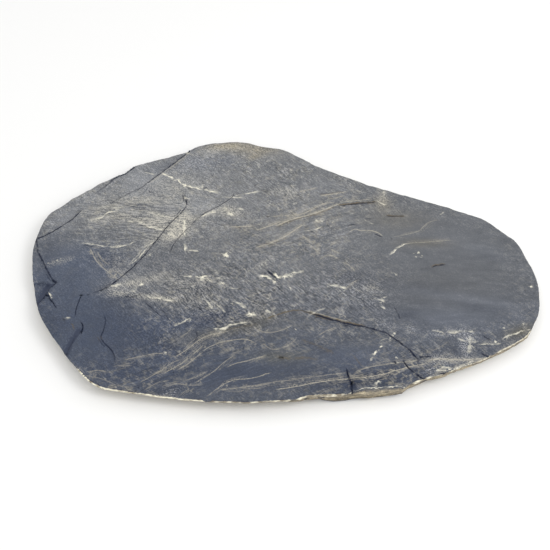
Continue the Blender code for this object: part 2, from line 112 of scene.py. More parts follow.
# Lines drawn on the face. Each is its strength, its half width in millimetres, and x and y along
# it in millimetres. Hollows, where small wedges came out, have a half width at each end.
LINES = {
    "crack": (
        (0.55, 1.2, -204, 124, -217, 105, -232, 80, -250, 50, -260, 25, -267, 0),
        (1, 1.4, 266, -314, 273, -332, 285, -348, 299, -361, 314, -372),
        (0.75, 0.9, -459, -120, -461, -145, -464, -170, -464, -198),
        (1, 1.2, -450, -208, -441, -224, -441, -250),
        (0.9, 1, -540, -120, -532, -142, -521, -156, -507, -176),
        (0.75, 1.9, 152, 170, 185, 174, 212, 178, 233, 180, 256, 183),
        (0.6, 1.5, 271, 131, 294, 129, 324, 129),
        (0.75, 1.7, 364, -49, 376, -43, 388, -40, 404, -38),
        (0.65, 1.2, -251, 216, -249, 198, -246, 185), (0.85, 1.4, -188, -168, -174, -182),
        (0.6, 1.2, 76, 80, 88, 70), (0.6, 1.2, 60, 16, 74, 6),
        (0.55, 1.1, -276, -170, -258, -190, -246, -212), (1, 2.1, 437, -301, 450, -306, 460, -314),
        (0.7, 1.7, 104, 217, 130, 218), (0.9, 1.8, -32, -52, -22, -64, -12, -74, -2, -89),
        (0.6, 1, 262, -166, 269, -186, 274, -210), (0.7, 1.3, 247, -319, 253, -330),
        (0.6, 1.1, -310, -154, -288, -176, -264, -202), (0.7, 1.2, 237, 67, 261, 54),
        (0.6, 1.2, 218, 121, 240, 119), (0.6, 1.3, 170, 91, 183, 99, 193, 100, 205, 97),
        (0.7, 1.3, 449, -248, 460, -258, 470, -268), (0.8, 1.3, 298, -311, 316, -310, 334, -308),
        (0.5, 1.1, -48, 30, -32, 31, -19, 35),
        (0.9, 0.9, 336, -354, 356, -352, 376, -346, 400, -337, 424, -326),
        (0.5, 1.3, -360, 103, -336, 95, -314, 83),
        (0.5, 1.3, -492, 32, -460, 24, -434, 16, -410, 12),
        (0.5, 1.4, -358, -136, -342, -139, -328, -133), (0.7, 1.5, -342, 225, -335, 218),
        (0.45, 1.2, -60, 246, -38, 226, -26, 216), (0.5, 1.2, -192, -278, -182, -256, -186, -236),
        (0.55, 1.1, 20, -138, 6, -120, -10, -104),
        (0.55, 1, -350, 256, -362, 245, -395, 214, -419, 194, -437, 175),
    ),
    "vein": (
        (1, 1.9, -317, 300, -302, 290, -291, 281, -279, 272),
        (0.9, 1.4, -283, 264, -274, 269, -268, 272, -264, 261, -255, 251),
        (1, 2, -262, 255, -253, 250, -240, 246, -226, 241, -210, 235, -197, 233),
        (1, 2.5, -199, 234, -186, 229, -170, 223, -152, 214), (0.6, 1, -215, 250, -204, 236),
        (0.6, 1, -201, 254, -202, 233), (0.6, 1.4, -365, 308, -348, 300, -330, 296),
        (0.6, 1.2, -495, 36, -470, 33, -449, 30, -433, 25, -418, 22),
        (0.9, 1.3, -423, 23, -400, 22, -385, 25, -372, 32, -354, 43),
        (0.7, 0.9, -302, 60, -310, 46, -320, 26, -330, 4, -340, -14, -356, -36),
        (0.7, 1.6, -242, 128, -239, 106, -237, 83, -236, 56),
        (0.9, 1.3, -233, 34, -229, 15, -227, 2), (0.7, 1.2, -228, 6, -210, 8, -192, 5),
        (1, 1.6, -248, 203, -239, 198, -229, 194),
        (0.8, 1.8, -202, 127, -186, 137, -172, 146, -156, 144), (1, 3.2, -142, 164, -132, 154),
        (0.8, 3.2, -132, 144, -112, 134), (0.6, 1.8, -106, 160, -90, 152),
        (0.6, 1.2, -156, 204, -130, 202, -106, 200, -88, 198),
        (0.75, 1.5, -116, 208, -95, 212, -72, 218, -48, 225), (0.6, 0.9, 61, 77, 86, 79, 109, 91),
        (0.9, 1.7, 93, 116, 101, 111), (0.8, 1.6, 107, 109, 114, 113),
        (0.5, 0.9, 134, 100, 141, 114, 148, 129),
        (1, 2.8, -51, -77, -36, -75, -24, -76, -17, -85, -7, -102),
        (1, 2.7, -16, -67, -8, -73, -1, -79, 8, -77, 17, -70, 25, -72, 36, -79),
        (1, 2.4, 22, -69, 34, -64, 46, -62, 63, -60), (0.8, 1.5, -228, -78, -204, -77),
        (1, 1.6, -201, -75, -189, -79, -177, -77, -169, -71), (0.95, 1.4, -188, -87, -175, -92),
        (0.75, 1.2, -173, -80, -160, -92, -145, -96),
        (0.75, 1.2, -140, -91, -129, -101, -116, -111),
        (0.5, 1.3, -150, -82, -139, -79, -132, -71), (0.6, 1.1, -114, -113, -92, -115),
        (0.65, 1.1, -179, -140, -163, -159, -147, -181),
        (0.6, 1.1, -155, -149, -140, -165, -119, -190), (0.6, 1.2, -161, -167, -150, -178),
        (0.45, 1.1, -162, -124, -130, -154),
        (0.8, 1.6, -150, -232, -136, -234, -123, -232, -110, -224, -96, -220, -82, -216, -66,
         -213),
        (0.5, 1.4, -140, -242, -124, -238, -112, -230),
        (0.7, 1.7, -110, -152, -89, -163, -73, -182), (1, 4.6, -72, -184, -62, -192, -54, -202),
        (0.6, 2.6, -32, -180, -18, -188),
        (0.65, 1.5, -239, -224, -223, -218, -209, -209, -198, -201),
        (0.75, 1, 266, -8, 282, 4, 297, 20, 308, 29, 324, 33), (0.4, 1.2, 410, 136, 426, 146),
        (0.35, 1.3, 195, -322, 203, -308), (1, 2.7, 203, -305, 215, -293),
        (0.3, 1.2, 214, -296, 220, -288), (1, 2, 222, -284, 228, -279),
        (0.3, 1.2, 220, -272, 229, -262, 242, -260), (0.7, 1.6, 242, -262, 247, -266),
        (0.7, 1.5, 110, -102, 130, -107, 150, -112, 162, -120),
        (0.7, 1.3, 490, -266, 504, -255, 524, -246, 544, -238, 568, -234),
        (0.5, 1.1, 430, -278, 454, -275, 470, -275, 494, -273),
        (1, 0.9, -536, -122, -531, -132, -525, -144),
        (0.7, 1.5, -478, 121, -452, 124, -435, 145, -405, 150),
        (0.6, 1.3, -388, 113, -366, 110, -337, 110), (0.8, 1.5, -344, 98, -316, 90, -286, 81),
        (0.4, 3.2, -340, 150, -296, 134, -264, 122), (0.35, 2.6, -435, 160, -409, 164, -380, 170),
        (0.6, 2, -279, 72, -269, 64, -262, 56), (0.35, 1.2, -364, -40, -339, 4, -316, 50),
        (0.9, 1, -558, -32, -554, -30), (0.9, 1, -549, -26, -544, -25),
        (0.9, 1, -540, -23, -535, -21), (0.8, 0.9, -530, -19, -527, -18),
        (0.8, 1.8, 199, -381, 208, -377, 216, -375), (0.7, 1.6, 339, -336, 354, -337, 374, -340),
        (0.9, 2.6, -132, 2, -124, -18), (1, 2.8, -338, -105, -326, -103, -316, -99),
        (0.6, 3.6, -396, -108, -382, -104, -368, -98), (0.6, 2.4, -348, -118, -334, -126),
        (0.75, 1.5, -314, -134, -298, -142, -280, -144, -264, -148, -240, -154),
        (0.8, 1.7, 340, -239, 354, -241, 368, -243),
        (0.6, 2.4, 372, -243, 391, -245, 416, -240, 440, -242),
        (0.55, 2.6, 424, -250, 419, -276, 412, -304), (0.4, 1.8, 391, -260, 420, -269, 442, -268),
        (0.9, 1.7, -254, -296, -244, -297), (0.9, 1.7, 241, -141, 251, -141),
        (0.8, 1.9, 238, -171, 243, -177), (0.6, 1.4, 216, -142, 230, -148, 246, -158),
        (0.9, 1.9, 338, 2, 343, -2), (0.8, 1.7, 346, -8, 351, -11), (0.6, 1.5, 328, 0, 332, -3),
        (0.6, 1.5, 330, -10, 335, -15), (0.4, 2, 266, -62, 284, -71),
        (1, 1.9, 589, -107, 595, -105), (1, 2, 474, -267, 480, -271),
        (0.7, 1.5, 513, -223, 519, -221), (0.6, 1.5, 547, -217, 553, -218),
        (0.6, 1.5, 500, -230, 506, -231), (0.9, 1.7, 24, -109, 30, -116),
        (0.9, 1.5, 34, -234, 38, -239), (0.8, 1.6, 254, -246, 259, -249),
        (0.8, 1.6, 244, -255, 249, -258), (0.5, 1.4, 252, -308, 258, -314),
        (0.6, 1.5, 253, -322, 258, -326), (0.7, 1.6, -316, -4, -311, -9),
        (0.8, 1.8, -476, 120, -470, 116), (0.5, 1.8, -464, 126, -450, 132),
        (0.8, 2.4, -258, 388, -246, 380), (0.6, 1.8, -484, -200, -472, -201),
        (0.6, 1.4, 254, 190, 268, 176, 284, 171), (0.45, 2.2, 276, 226, 274, 206),
        (0.45, 1.1, 217, 119, 231, 105, 244, 101), (0.45, 1.3, 66, -196, 90, -182, 108, -174),
        (0.8, 0.9, 134, -410, 165, -395, 192, -390, 222, -388, 250, -387, 272, -394),
        (0.9, 0.9, 330, -346, 352, -346, 374, -340, 396, -332, 426, -320),
    ),
    "fold": (
        (0.9, 0.9, -10, -394, 30, -387, 70, -378, 110, -370, 146, -366, 190, -362, 226, -354, 256,
         -344, 286, -334, 320, -328),
        (0.45, 1.1, -86, -387, -50, -382, -10, -375, 30, -369, 70, -362, 106, -356, 144, -350),
        (0.55, 1.2, 158, -352, 174, -344, 196, -336, 230, -329, 270, -323, 300, -318),
        (0.75, 1, -230, -312, -208, -296, -190, -278, -174, -262, -156, -252, -134, -246, -112,
         -240),
        (0.75, 1, -170, -296, -150, -282, -128, -271, -104, -265, -80, -262, -64, -266, -52, -274),
        (0.6, 1, -250, -354, -220, -334, -196, -312, -178, -292, -164, -276),
        (0.75, 0.9, -114, -338, -96, -328, -74, -322, -50, -314, -26, -306),
        (0.6, 0.9, -180, -378, -158, -362, -138, -346, -120, -326, -96, -304),
        (0.7, 0.9, -140, -399, -120, -382, -98, -370, -74, -367, -50, -363, -32, -356, -14, -351),
        (0.55, 0.9, -340, -318, -316, -311, -296, -306, -270, -300, -246, -299),
        (0.5, 1, -298, -376, -274, -360, -250, -342, -230, -324, -208, -314),
        (0.5, 1.1, 2, -288, 20, -280, 32, -269, 40, -254),
        (0.5, 1.2, -50, -234, -30, -244, -6, -242, 14, -234, 34, -222),
        (0.45, 1.2, -240, -386, -214, -378, -186, -382, -158, -380),
        (0.45, 1, -154, -412, -130, -390, -112, -368),
        (0.6, 2.2, 316, -319, 346, -316, 380, -317, 416, -317, 470, -310),
        (0.7, 1.2, 53, 62, 68, 51, 82, 34), (0.7, 1.2, 124, 22, 144, 37),
        (0.7, 1.2, 17, 134, 34, 119), (0.5, 1.2, 95, -24, 115, -10, 132, -14),
        (0.6, 1.2, 50, 220, 84, 233, 107, 242), (0.55, 1.1, 154, -120, 172, -98, 192, -85),
        (0.6, 1.1, -268, -166, -251, -150, -232, -137), (0.5, 1.2, 84, -254, 104, -240, 130, -226),
        (0.4, 1, -224, -262, -206, -246, -194, -228),
        (0.45, 1, -210, -410, -194, -394, -176, -402),
        (0.22, 1.2, 300, -306, 330, -296, 356, -282, 376, -266),
        (0.35, 0.9, -420, -356, -380, -364, -340, -382, -300, -388),
        (0.4, 0.9, -286, -396, -266, -380, -244, -368),
        (0.6, 1.4, -465, 20, -446, -16, -424, -44, -400, -66, -376, -88),
        (0.5, 1.2, -445, 10, -426, -22, -404, -38), (0.5, 1.3, -410, -46, -384, -62, -362, -82),
        (0.5, 1.2, -360, -334, -336, -330, -314, -332),
        (0.5, 1.2, -416, -348, -386, -344, -364, -349),
        (0.55, 1.2, -222, -346, -198, -328, -180, -310, -164, -294),
        (0.5, 1.1, -90, -400, -66, -392, -34, -389),
        (0.55, 1.3, -130, -394, -96, -390, -60, -386, -20, -380),
        (0.5, 1.2, -200, -370, -174, -360, -150, -344), (0.45, 1.1, -36, -274, -16, -290, 8, -288),
        (0.85, 1.4, -126, 90, -95, 92, -60, 94),
        (0.85, 1.3, -58, 18, -26, 30, -2, 44, 23, 62, 49, 87, 71, 106),
        (0.7, 1.2, 158, 181, 198, 187, 248, 195), (0.85, 1.4, -59, 77, -34, 88, -14, 97, 11, 112),
        (1, 1.5, -9, 91, 14, 106, 37, 119, 62, 128, 98, 143, 137, 165, 158, 177),
        (0.7, 1.3, -22, 126, 19, 132, 55, 136, 86, 154, 115, 175, 148, 182),
        (0.6, 1.1, 124, 192, 150, 200, 176, 208), (0.9, 1.3, 105, 206, 143, 214, 184, 224),
        (0.7, 1.3, 174, 70, 192, 83, 204, 79, 229, 78, 246, 72, 262, 56),
        (0.7, 1.3, 87, 79, 102, 87, 114, 96),
        (0.5, 1.2, -242, 392, -261, 362, -290, 324, -312, 296, -343, 254),
        (0.5, 1.2, -285, 243, -269, 237, -255, 222),
        (0.6, 1, 56, -180, 92, -192, 124, -203, 158, -214),
        (0.45, 1, 310, 30, 332, 34, 374, 38, 430, 45),
        (0.4, 1.1, 284, 54, 346, 73, 367, 94, 384, 109, 408, 118),
        (0.75, 1.4, 120, -3, 132, -12, 149, -21), (0.6, 1.3, 158, -29, 173, -47, 184, -64),
        (0.7, 1.4, 126, 14, 136, 6, 150, -2), (0.4, 1.1, 60, 34, 86, 16, 104, -8),
    ),
    "stain": (
        (0.9, 1.6, -32, -208, -14, -198, 4, -190, 22, -184, 42, -181, 62, -186, 92, -198, 124,
         -210),
        (0.6, 1.1, -116, 85, -92, 87, -70, 88), (0.6, 1.2, -26, 22, -2, 36, 24, 55),
        (0.8, 1.4, -6, 87, 22, 106, 50, 119, 76, 129, 100, 139, 124, 152, 148, 166),
        (0.45, 2, 104, 212, 126, 214, 150, 220, 176, 224),
        (0.45, 2.6, -10, -310, 24, -315, 56, -312, 86, -318),
        (0.4, 2.6, 46, -262, 76, -276, 100, -288, 122, -304),
        (0.35, 2, -136, -239, -108, -233, -76, -226, -46, -220),
        (0.6, 1.6, -469, -214, -462, -224, -458, -236), (0.5, 1.6, -398, -250, -389, -262),
        (0.9, 2.2, 270, 132, 294, 130, 326, 129), (1, 2.4, 150, 172, 185, 176, 212, 180, 258, 185),
        (0.9, 2.2, 362, -47, 380, -39, 404, -36),
        (0.9, 2, 64, -184, 92, -195, 124, -206, 156, -216, 196, -226),
        (0.5, 1.2, -48, 30, -32, 31, -19, 34), (0.4, 1.6, 180, -336, 168, -318, 156, -298),
    ),
    "hollow": (
        (0.95, (8.5, 5), -547, -100, -548, -120, -553, -140, -560, -170),
        (0.95, (6.5, 1.6), -542, -99, -532, -97, -526, -94),
        (0.95, (5.5, 8.6), -448, -238, -454, -254, -460, -270, -464, -290, -472, -316),
    ),
}
# For each kind: how far its lines wander, how much their width swells and shrinks, how far weaker
# threads run from them, and how many there are.
LINE_LOOKS = {
    "crack": (0.0013, 0.55, 0.0, 0),
    "vein": (0.0022, 0.85, 0.0034, 1),
    "fold": (0.0006, 0.30, 0.0062, 2),
    "stain": (0.0014, 0.50, 0.0, 0),
    "hollow": (0.0010, 0.15, 0.0, 0),
}
# The step along a line, how far a line can be seen, in metres and in half widths, and its fade at
# each end. A thread has these shares of its line's strength and width.
LINE_STEP = 0.003
LINE_SIGHT = 0.012
LINE_FAR = 6.0
LINE_FADE = 0.012
THREAD_SHOWS = 0.45
THREAD_WIDTH = 0.75
THREAD_SHORTEST = 6

# Soft patches of the face: x, y, half length and half width in centimetres, turn of the length
# from the X axis in degrees, and strength.
TONES = {
    # Partly weathered stone, partly painted sunlit tone, warmer and paler towards the upper left.
    "warm": (
        (-34, 18, 20, 10, 30, 0.3), (-20, 14, 8, 7, 20, 0.25), (-7, 39, 9, 5, 0, 0.25),
        (-33, -7, 9, 5, 0, 0.25), (-10, -8, 14, 7, 0, 0.2), (10, 6, 14, 10, 10, 0.4),
    ),
    # Partly fresher slate, partly painted shade, bluer and darker towards the lower left.
    "cool": (
        (-58, -10, 13, 12, -60, 0.75), (-47, -22, 14, 12, -45, 0.8), (-32, -28, 13, 9, -20, 0.75),
        (-46, -4, 9, 7, 0, 0.7), (-43, -1, 8, 4, -30, 0.45), (-20, 34, 10, 3.5, 15, 0.4),
        (-14, -20.5, 11, 3, 8, 0.6), (-12, -34, 16, 6, 10, 0.36), (6, -32, 14, 7, 5, 0.3),
        (20, -35, 10, 5, 5, 0.36),
    ),
    "light": (
        (-54, 14, 4, 9, -35, 0.55), (48, 2, 8, 2.2, -22, 0.35), (42, -14.2, 13, 1.5, -10, 0.6),
        (38, -22, 10, 5, 0, 0.34), (-36, 28, 6, 7, 0, 0.7), (-23, 17, 6, 3, 0, 0.45),
        (-48, 23, 5, 3, 30, 0.3), (12, 24, 7, 3, 0, 0.28), (-22, 39, 5, 3, 0, 0.3),
        (-1, -31, 6, 2.4, 0, 0.28), (54, -22, 5, 3, 0, 0.28), (-27, -22, 6, 3, 0, 0.32),
        (-1.5, -4, 4, 4, 0, 0.26), (15, -31.2, 8, 2.8, 0, 0.45), (-10, 38, 14, 3, 0, 0.34),
        (-18, 17, 7, 2.6, 0, 0.28), (-8, -0.6, 3.4, 2.6, 0, 0.28), (-30, 24, 18, 7, 30, 0.22),
        (38, -19, 9, 2.6, 0, 0.3), (30, -3, 12, 5, 0, 0.12), (-36, -12.5, 7, 2.5, 0, 0.15),
    ),
    # Partly darker bands, partly painted shade in grooves, pits and the left edge's hollows.
    "deep": (
        (-55.4, -13.5, 2.2, 5, 10, 0.4), (-34.2, -14, 2.4, 0.8, 0, 0.6),
        (-41.4, -1.8, 6, 2.2, -30, 0.6), (-50, 9, 5, 1.4, 40, 0.3), (-30.5, 33, 6, 1.8, 40, 0.35),
        (-14, -20.8, 9, 1.8, 6, 0.5), (46, -17.2, 5, 1.1, -16, 0.3), (52, -1.5, 8, 1, -3, 0.2),
        (33, -11.6, 9, 2, -8, 0.2), (-36.6, 16.8, 6, 1.5, -6, 0.9), (-38, 13, 5.5, 1.1, -4, 0.8),
        (-33, 22, 4, 2, -20, 0.6), (-27, -3, 7, 5, 0, 0.28), (-13, -20, 5, 4, 0, 0.45),
        (-9, -6, 6, 2.6, 0, 0.38), (-20, -11.5, 7, 3.6, 0, 0.4), (-56.5, 3, 4, 6, 0, 0.44),
        (-37, -14.5, 4, 3.6, 0, 0.3), (13, 9, 8, 4, 10, 0.28), (-52, -22, 4, 3, 0, 0.36),
        (-10, -27, 8, 2.6, 0, 0.2), (22, -35.6, 7, 2.6, 0, 0.34), (26.5, -30.6, 4, 2.4, 0, 0.26),
        (9, -36.4, 5, 2.5, 0, 0.2), (-1, -16.5, 3.4, 2.6, 0, 0.24), (-23, -26.4, 4, 3, 0, 0.26),
        (-32, -36, 7, 3, -10, 0.2), (17, -7.6, 8, 3, -10, 0.42), (10, 1, 7, 4, 0, 0.22),
        (21.5, -16.5, 3.4, 2.6, 0, 0.22), (-25.5, -29.4, 5, 3, 0, 0.26),
        (-36, -33.6, 6, 3.4, -10, 0.26), (28.5, -19.5, 3, 1.4, 20, 0.35),
        (10.5, -29.5, 7, 1.6, -32, 0.22), (15.2, -38.5, 1.2, 2.6, 0, 0.6),
        (-10, -36, 22, 5, 6, 0.32), (18, -37.6, 12, 2.6, 6, 0.5), (40, -29.4, 10, 1.4, 6, 0.35),
        (-33, -24, 9, 6, 0, 0.3),
    ),
    "ochre": (
        (-7, 40, 8, 3, 0, 0.45), (-6.6, 36.6, 2.4, 1.2, 20, 0.3), (-15, 41.4, 5, 1.2, 5, 0.5),
        (-5, -21, 6, 2.2, 15, 0.4), (1, 11, 9, 1.6, 20, 0.12), (-14, -24.6, 8, 1.8, 12, 0.3),
        (0, -30.8, 6, 2, 0, 0.45), (54, -24, 4, 1.6, 25, 0.6), (27, 18, 2, 2.6, 0, 0.35),
        (36, 3.4, 7, 1.6, 0, 0.25), (30, 12, 8, 4, 0, 0.2), (38, -14, 15, 11, 0, 0.08),
        (8, -30, 16, 9, 0, 0.07),
    ),
    "pale": (
        (-26, 7.2, 3.4, 2.2, 40, 1), (-25.8, 5.8, 2.4, 0.8, 10, 1), (-24.3, 12, 1.8, 3.4, 0, 1.2),
        (-22, 12.2, 2.4, 0.8, 0, 0.8), (-38.5, -10.8, 2.6, 1.6, 15, 0.28),
        (-34.8, -9.8, 1.8, 1, 15, 0.6), (-37, -12.8, 3.5, 0.8, 0, 0.5),
        (-31, -8.6, 4, 1.2, 20, 0.4), (-12.6, 15, 3.6, 1.9, -20, 0.75), (-17, 14.4, 3, 1, 25, 0.6),
        (-33, 11.6, 8, 1.2, -8, 0.8), (-30, 9.3, 5, 0.8, -12, 0.9),
        (-29.6, 13.4, 5, 1.2, -22, 0.7), (-33, 18.6, 10, 1.2, -6, 0.35),
        (-42, 13, 7, 1.2, 18, 0.45), (-44, 16.5, 6, 2, 20, 0.35), (-29, 24, 8, 5, 30, 0.35),
        (-12, 41, 5, 1.6, 0, 0.45), (-18, 39.5, 4, 1.8, 20, 0.5), (-31, 5.6, 1.4, 3, -25, 0.4),
        (-38, -4.6, 2, 5, 40, 0.25), (-53, -2.6, 3.6, 0.9, 20, 0.35),
        (-28, -14.3, 6, 0.9, -8, 0.7), (-22, -9, 9, 2.4, 0, 0.15), (-19, -14, 9, 4, -35, 0.15),
        (1, 22.5, 3.4, 1.4, 0, 0.45), (3.8, 20.4, 1.4, 0.9, 0, 0.5), (10.5, 11.5, 1.4, 1, 40, 0.6),
        (26.4, 18.2, 1.8, 1.9, 0, 0.35), (27.4, 21.6, 0.8, 2.4, 0, 0.45),
        (21.5, -11.2, 1.6, 0.8, 0, 0.45), (-3.8, -3.6, 2, 0.7, 50, 0.6),
        (-4.4, -17, 2, 2.4, 0, 0.3), (50.5, -28.8, 3, 1, 30, 0.55), (38, -31.7, 8, 0.8, 0, 0.45),
        (-22, -26.4, 3, 2.2, -40, 0.1),
    ),
    "fleck": (
        (-28, 16, 24, 20, 0, 0.4), (-18, -12, 20, 8, -15, 0.25), (7, -12, 16, 7, -20, 0.25),
        (18, -12.5, 8, 4, -25, 0.5), (-22, 33.6, 4, 2, 0, 0.55), (-37.6, -10.9, 3.4, 1.8, 12, 0.6),
        (12, 4, 10, 7, 20, 0.3), (0, 20, 18, 14, 0, 0.15), (38.6, -24.5, 5, 1, -2, 0.9),
        (41.6, -26.2, 1.6, 2.8, 0, 0.9), (34.6, -31.6, 2.4, 1.4, 0, 0.8),
        (40.4, -29.4, 0.8, 3, 0, 0.7), (33, -34.3, 1.6, 1.2, 20, 1.6),
        (23.4, -22.2, 2.6, 1.2, -30, 0.55), (29.4, -23.4, 1, 1.6, 0, 0.6),
        (-22.4, -39.6, 3, 1.2, 20, 0.7),
    ),
    "calm": (
        (42, 0, 22, 20, -15, 1), (36, -17, 16, 6, 0, 0.9), (24, 8, 14, 8, 0, 0.4),
        (-46, -12, 14, 13, -30, 0.85), (-40, -26, 12, 9, 0, 0.7), (-54, 0, 7, 7, 0, 0.7),
        (16, -29, 12, 7, -10, 0.4), (-8, -36, 24, 8, 8, 0.88), (-27, -1, 7, 6, 20, 0.65),
    ),
}
# Where each grain of the splitting face shows, in the same form.
GRAIN_AREAS = {
    "hatch": (
        (0, 0, 200, 200, 0, 0.6), (-12, -12, 26, 9, -12, 0.35), (14, -14, 12, 8, -20, 0.45),
        (5, 24, 22, 12, -20, 0.3),
    ),
    "rising": (
        (-5, -32, 30, 8, 8, 0.7), (2, 12, 22, 5, 25, 0.45), (12, 6, 14, 9, 20, 0.7),
        (24, -36, 16, 4, 10, 0.8), (-28, -38, 12, 5, 10, 0.6),
    ),
    "wispy": (
        (-36, 13, 20, 12, 10, 1), (-20, -8, 8, 2.4, 0, 0.7),
    ),
    "level": (
        (44, -5, 22, 18, -10, 1), (36, -20, 14, 6, 0, 0.8),
    ),
}
# The grains: turn in degrees, length and width of a streak, and how strongly its colour shows.
GRAINS = {
    "hatch": (-47.0, 0.0160, 0.0026, 0.95),
    "rising": (21.0, 0.070, 0.0042, 0.90),
    "wispy": (-7.0, 0.030, 0.0036, 0.85),
    "level": (-4.0, 0.065, 0.0150, 0.62),
}

# Lengths of the front lip that are crushed to pale stone: start, end, strength and half width.
# Down the edge, the crushed stone gives way this much more slowly than on the face.
# The lip's fields also place a band of painted shadow beside the crushed strip.
LIP_STRETCHES = (
    (-0.440, -0.150, 1.00, 0.0030),
    (-0.150, 0.030, 0.75, 0.0024),
    (0.030, 0.145, 0.95, 0.0024),
    (0.276, 0.330, 1.00, 0.0024),
    (0.330, 0.470, 0.85, 0.0017),
    (0.470, 0.570, 0.95, 0.0019),
)
LIP_END = 0.012
LIP_DROP = 0.5

# How the mesh is split: the three sorts of face, of which the highest counts where two meet, how
# they are told apart, and the longest edges.
UNDER, TOP, SIDE = 0, 1, 2
RIM_SIGHT = 0.003
UNDER_REACH = 0.006
FACE_EDGE = 0.0090
LINE_EDGE = 0.0027
LINE_BAND = 0.0035
CRACK_EDGE = 0.0017
CRACK_BAND = 0.0030
SIDE_EDGE = 0.0060
SIDE_UPRIGHT = 2.2
UNDER_EDGE = 0.026
EDGE_SLACK = 1.35
REFINE_ROUNDS = 7

# Relief of the rim, the hollows and the beds of the edge.
CHIP_DEPTH = 0.0022
CHIP_REACH = 0.006
HOLLOW_DEPTH = 0.0012
LAYER_THICKNESS = 0.0042
LAYER_OUT = 0.0022
SHARP_ANGLE = 50.0

# The stage, in metres, watts and degrees.
FLOOR_SIZE = 60.0
FLOOR_DROP = 0.0004
ROOM_STRENGTH = 1.0
LAMP_PLACE = (2.0, -0.9, 2.1)
LAMP_SIZE = 1.3
LAMP_POWER = 26.0
CAMERA_TARGET = (-0.0111, -0.0757, 0.036)
CAMERA_DISTANCE = 1.8143
CAMERA_RISE = 48.0
CAMERA_LENS = 50.0


def linear(code):
    """The linear colour of an sRGB hex code."""
    shares = [int(code[k:k + 2], 16) / 255.0 for k in (1, 3, 5)]
    return tuple(s / 12.92 if s <= 0.04045 else ((s + 0.055) / 1.055) ** 2.4 for s in shares)


def smoothstep(value):
    clipped = np.clip(value, 0.0, 1.0)
    return clipped * clipped * (3.0 - 2.0 * clipped)


def faded(where, length, into, out, least=1e-6):
    """How much of a line shows at each length along it, as it fades in and out."""
    risen = smoothstep((where + least) / max(into, least))
    return risen * smoothstep((length - where + least) / max(out, least))


def wave(points, size, seed):
    """Smooth noise from -1 to 1 at each of the (x, y) points."""
    return np.array([noise.noise(Vector((x / size, y / size, seed))) for x, y in points])


def spaced(line, spacing):
    """Evenly spaced points along a line."""
    along = np.append(0.0, np.cumsum(np.linalg.norm(np.diff(line, axis=0), axis=1)))
    wanted = np.linspace(0.0, along[-1], max(int(along[-1] / spacing), 2) + 1)
    return np.column_stack([np.interp(wanted, along, line[:, k]) for k in (0, 1)])


def curved(millimetres):
    """A smooth line, in metres, through points given as x and y in millimetres."""
    given = np.reshape(millimetres, (-1, 2)) / 1000.0
    ends = np.vstack([2.0 * given[0] - given[1], given, 2.0 * given[-1] - given[-2]])
    before, start, end, after = ends[:-3], ends[1:-2], ends[2:-1], ends[3:]
    steps = np.linspace(0.0, 1.0, 8, endpoint=False)[:, None, None]
    curve = 0.5 * (
        2.0 * start
        + (end - before) * steps
        + (2.0 * before - 5.0 * start + 4.0 * end - after) * steps**2
        + (3.0 * start - before - 3.0 * end + after) * steps**3
    )
    return np.vstack([curve.transpose(1, 0, 2).reshape(-1, 2), given[-1:]])


def nearest(points, line):
    """For each point: the distance to the line, positive on its left, and the length along it."""
    best = np.full(len(points), np.inf)
    signed = np.zeros(len(points))
    where = np.zeros(len(points))
    reached = 0.0
    for start, end in zip(line[:-1], line[1:]):
        step = end - start
        length = np.linalg.norm(step)
        offset = points - start
        share = np.clip(offset @ step / length**2, 0.0, 1.0)
        gap = np.linalg.norm(offset - share[:, None] * step, axis=1)
        left = step[0] * offset[:, 1] - step[1] * offset[:, 0]
        closer = gap < best
        best = np.where(closer, gap, best)
        signed = np.where(closer, np.where(left > 0.0, gap, -gap), signed)
        where = np.where(closer, reached + share * length, where)
        reached += length
    return signed, where, reached


def moved_aside(line, amount):
    """The line moved to its right by an amount at each of its points."""
    along = np.gradient(line, axis=0)
    along /= np.linalg.norm(along, axis=1)[:, None]
    return line + np.column_stack([along[:, 1], -along[:, 0]]) * np.reshape(amount, (-1, 1))


def read_ledge(drop, reach, into, out, dark, half, back, *points):
    """A ledge with its sizes in metres and the line of its upper edge."""
    line = spaced(curved(points), LEDGE_STEP)
    line = moved_aside(line, LEDGE_RAGGED * wave(line, 0.03, 6.4))
    return SimpleNamespace(
        drop=drop / 1000.0, reach=reach / 1000.0, fades=(into / 1000.0, out / 1000.0),
        dark=dark, half=half / 1000.0, back=back / 1000.0, line=line,
    )


def face_height(points):
    """The height of the upper face at points of the plan."""
    height = np.full(len(points), THICKNESS)
    for size, seed, amount in FACE_WAVES:
        height += amount * wave(points, size, seed)
    for direction, start, run, depth in FACE_FALLS:
        height -= depth * smoothstep((points @ np.array(direction) - start) / run)
    for ledge in (read_ledge(*row) for row in (*LEDGES, *SHELF)):
        signed, where, length = nearest(points, ledge.line)
        fade = faded(where, length, *ledge.fades, 1e-9)
        reach = np.exp(-np.square(np.maximum(-signed, 0.0) / ledge.reach))
        height -= ledge.drop * fade * reach * smoothstep(-signed / LEDGE_SLOPE)
    return height


